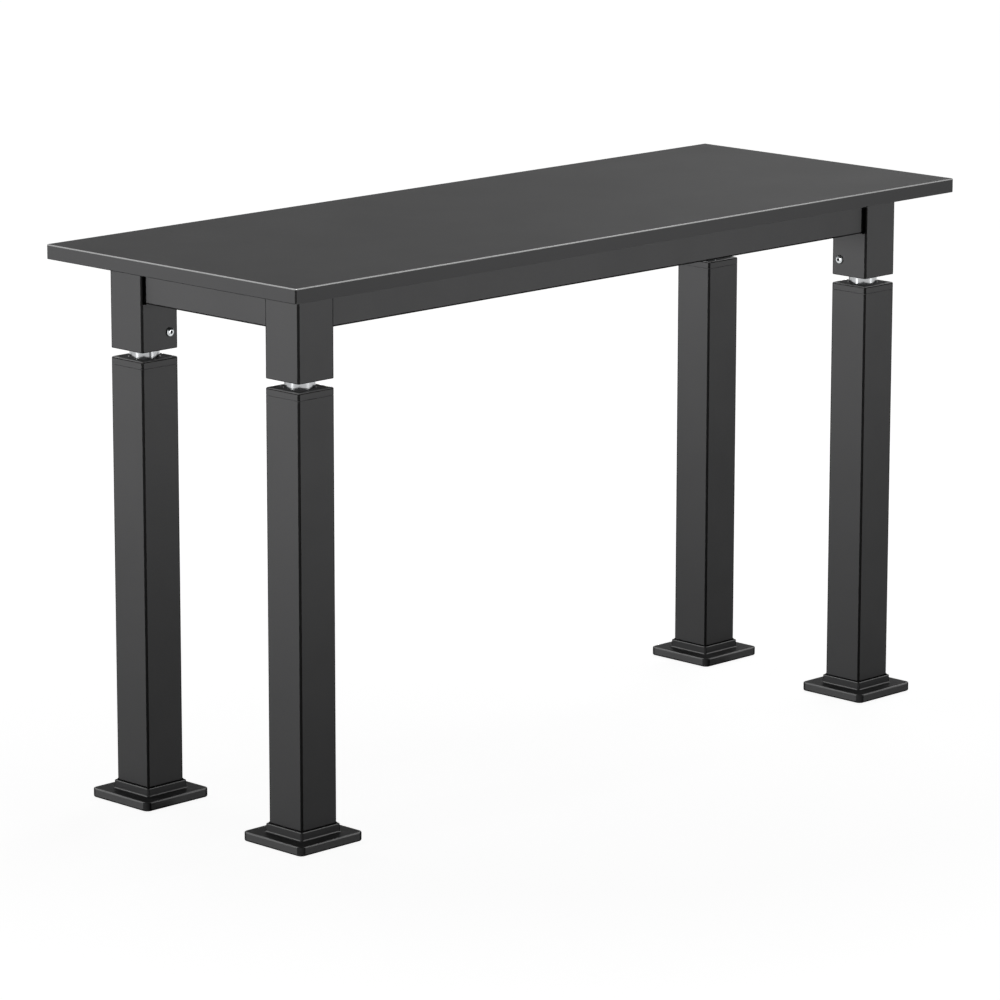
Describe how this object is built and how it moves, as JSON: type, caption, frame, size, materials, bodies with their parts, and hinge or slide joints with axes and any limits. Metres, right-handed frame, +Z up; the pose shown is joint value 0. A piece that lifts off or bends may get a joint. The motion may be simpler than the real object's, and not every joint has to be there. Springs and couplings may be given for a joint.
{
  "type": "height-adjustable laboratory table",
  "caption": "Narrow laboratory table with a thin black worktop on a tube frame, whose square legs telescope on chromed columns to change the height.",
  "frame": {"origin": "on the floor under the middle of the worktop", "axes": "+X along the long side, -Y towards the front long side, +Z up"},
  "size_m": [1.219, 0.4554, 0.716],
  "materials": {
    "worktop_resin": "matte black resin",
    "powder_coat": "satin black powder coat",
    "chrome": "hard chrome, polished",
    "chrome_screw": "bright chrome",
    "plain_steel": "plain turned steel",
    "guide_plastic": "semi-gloss black plastic",
    "foot_plastic": "semi-gloss black plastic",
    "pump_casting": "bare casting"
  },
  "bodies": {
    "frame": {"apron_back": "powder_coat", "apron_front": "powder_coat", "apron_left": "powder_coat", "apron_right": "powder_coat", "column_back_left": "chrome", "column_back_right": "chrome", "column_front_left": "chrome", "column_front_right": "chrome", "column_socket_back_left": "plain_steel", "column_socket_back_right": "plain_steel", "column_socket_front_left": "plain_steel", "column_socket_front_right": "plain_steel", "guide_ring_back_left": "guide_plastic", "guide_ring_back_right": "guide_plastic", "guide_ring_front_left": "guide_plastic", "guide_ring_front_right": "guide_plastic", "oil_line_back_left": "plain_steel", "oil_line_back_right": "plain_steel", "oil_line_front_left": "plain_steel", "oil_line_front_right": "plain_steel", "post_back_left": "powder_coat", "post_back_right": "powder_coat", "post_front_left": "powder_coat", "post_front_right": "powder_coat", "post_screw_end_back_left": "chrome_screw", "post_screw_end_back_right": "chrome_screw", "post_screw_end_front_left": "chrome_screw", "post_screw_end_front_right": "chrome_screw", "post_screw_side_back_left": "chrome_screw", "post_screw_side_back_right": "chrome_screw", "post_screw_side_front_left": "chrome_screw", "post_screw_side_front_right": "chrome_screw", "pump_body": "pump_casting", "top_bracket_back_left": "powder_coat", "top_bracket_back_right": "powder_coat", "top_bracket_front_left": "powder_coat", "top_bracket_front_right": "powder_coat", "top_screw_back_left": "plain_steel", "top_screw_back_right": "plain_steel", "top_screw_front_left": "plain_steel", "top_screw_front_right": "plain_steel", "worktop": "worktop_resin"},
    "lower_leg_front_left": {"leg_tube_front_left": "powder_coat", "guide_cap_front_left": "guide_plastic", "foot_front_left": "foot_plastic", "piston_rod_front_left": "plain_steel"},
    "lower_leg_front_right": {"leg_tube_front_right": "powder_coat", "guide_cap_front_right": "guide_plastic", "foot_front_right": "foot_plastic", "piston_rod_front_right": "plain_steel"},
    "lower_leg_back_left": {"leg_tube_back_left": "powder_coat", "guide_cap_back_left": "guide_plastic", "foot_back_left": "foot_plastic", "piston_rod_back_left": "plain_steel"},
    "lower_leg_back_right": {"leg_tube_back_right": "powder_coat", "guide_cap_back_right": "guide_plastic", "foot_back_right": "foot_plastic", "piston_rod_back_right": "plain_steel"},
    "pump_shaft": {"pump_drive_shaft": "plain_steel"}
  },
  "joints": [
    {"name": "lift_front_left", "type": "slide", "parent": "lower_leg_front_left", "child": "frame", "axis": [0, 0, 1], "range_m": [0, 0.305]},
    {"name": "lift_front_right", "type": "slide", "parent": "frame", "child": "lower_leg_front_right", "axis": [0, 0, -1], "range_m": [0, 0.305]},
    {"name": "lift_back_left", "type": "slide", "parent": "frame", "child": "lower_leg_back_left", "axis": [0, 0, -1], "range_m": [0, 0.305]},
    {"name": "lift_back_right", "type": "slide", "parent": "frame", "child": "lower_leg_back_right", "axis": [0, 0, -1], "range_m": [0, 0.305]},
    {"name": "pump_turn", "type": "hinge", "parent": "frame", "child": "pump_shaft", "pos_m": [0.55, 0, 0.67155], "axis": [-1, 0, 0], "range_deg": [0, 11000]}
  ],
  "couplings": [
    {"joint": "lift_front_right", "follows": "lift_front_left", "ratio": 1},
    {"joint": "lift_back_left", "follows": "lift_front_left", "ratio": 1},
    {"joint": "lift_back_right", "follows": "lift_front_left", "ratio": 1},
    {"joint": "pump_turn", "follows": "lift_front_left", "rad_per_m": 628.32}
  ]
}
